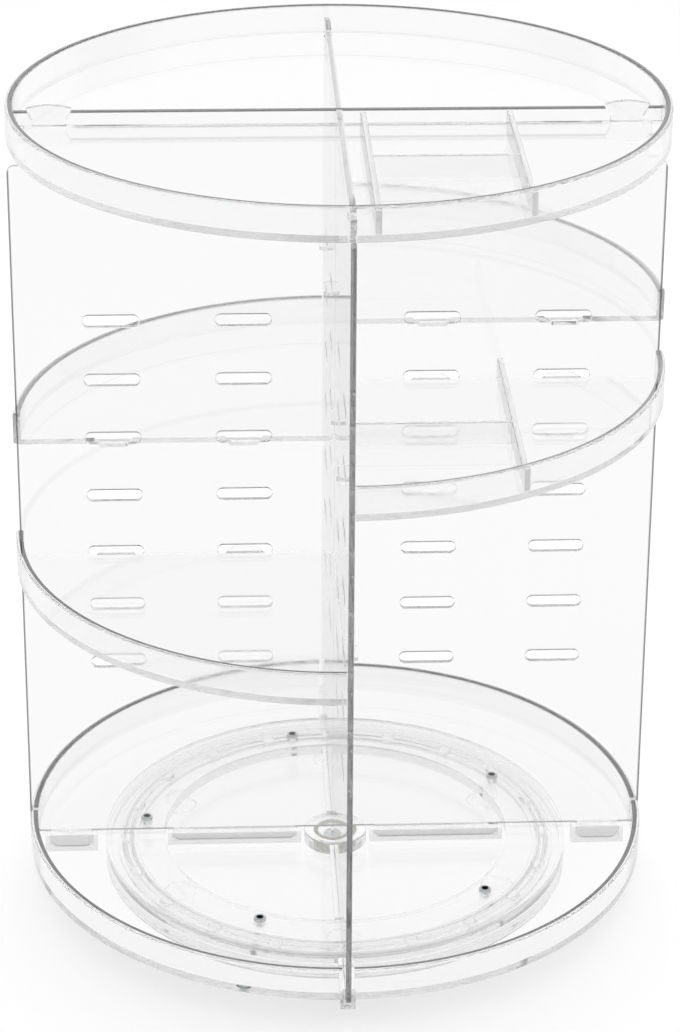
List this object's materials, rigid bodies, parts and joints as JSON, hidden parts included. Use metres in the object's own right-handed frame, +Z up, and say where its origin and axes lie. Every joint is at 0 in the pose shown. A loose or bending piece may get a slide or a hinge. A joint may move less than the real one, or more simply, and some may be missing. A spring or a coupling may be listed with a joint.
{
  "type": "rotating makeup organizer",
  "caption": "Clear round makeup carousel: upper and lower trays joined by slotted upright panels, with hook-on quarter trays and lift-out dividers, on a low ball-bearing turntable.",
  "frame": {"origin": "on the table, on the turning axis, under the middle of the base", "axes": "+Z up along the turning axis; X along the full-width panel; -Y along the front half panel"},
  "size_m": [0.233, 0.233, 0.3031],
  "materials": {
    "clear_styrene": "clear colourless polystyrene, polished mould finish",
    "zinc_steel": "zinc-plated steel",
    "ball_glass": "clear glass bearing balls",
    "white_acetal": "natural white acetal, satin",
    "soft_pad": "clear soft anti-slip pad"
  },
  "bodies": {
    "base": {"base_disc": "clear_styrene", "base_feet": "soft_pad"},
    "ball_race": {"ball_cage": "clear_styrene", "bearing_balls": "ball_glass"},
    "carousel": {"race_ring": "clear_styrene", "race_ring_screws": "zinc_steel", "pivot_bush": "white_acetal", "pivot_washer": "zinc_steel", "pivot_screw": "zinc_steel", "bottom_tray": "clear_styrene", "full_panel": "clear_styrene", "front_half_panel": "clear_styrene", "rear_half_panel": "clear_styrene", "top_tray": "clear_styrene"},
    "back_right_tray": {"quarter_tray_back_right": "clear_styrene"},
    "front_right_tray": {"quarter_tray_front_right": "clear_styrene"},
    "back_left_tray": {"quarter_tray_back_left": "clear_styrene"},
    "front_left_tray": {"quarter_tray_front_left": "clear_styrene"},
    "upper_insert": {"top_divider": "clear_styrene"},
    "quarter_insert": {"front_right_divider": "clear_styrene"}
  },
  "joints": [
    {"name": "turntable_spin", "type": "hinge", "parent": "base", "child": "carousel", "pos_m": [0, 0, 0.00523], "axis": [0, 0, 1], "continuous": true},
    {"name": "ball_race_spin", "type": "hinge", "parent": "base", "child": "ball_race", "pos_m": [0, 0, 0.00523], "axis": [0, 0, 1], "continuous": true},
    {"name": "back_right_tray_unhook", "type": "slide", "parent": "carousel", "child": "back_right_tray", "axis": [0.6936, 0.6936, 0.1942], "range_m": [0, 0.08]},
    {"name": "front_right_tray_unhook", "type": "slide", "parent": "carousel", "child": "front_right_tray", "axis": [0.6936, -0.6936, 0.1942], "range_m": [0, 0.08]},
    {"name": "back_left_tray_unhook", "type": "slide", "parent": "carousel", "child": "back_left_tray", "axis": [-0.6936, 0.6936, 0.1942], "range_m": [0, 0.08]},
    {"name": "front_left_tray_unhook", "type": "slide", "parent": "carousel", "child": "front_left_tray", "axis": [-0.6936, -0.6936, 0.1942], "range_m": [0, 0.08]},
    {"name": "upper_insert_lift", "type": "slide", "parent": "carousel", "child": "upper_insert", "axis": [0, 0, 1], "range_m": [0, 0.04]},
    {"name": "quarter_insert_lift", "type": "slide", "parent": "front_right_tray", "child": "quarter_insert", "axis": [0, 0, 1], "range_m": [0, 0.04]}
  ],
  "couplings": [
    {"joint": "ball_race_spin", "follows": "turntable_spin", "ratio": 0.5}
  ]
}
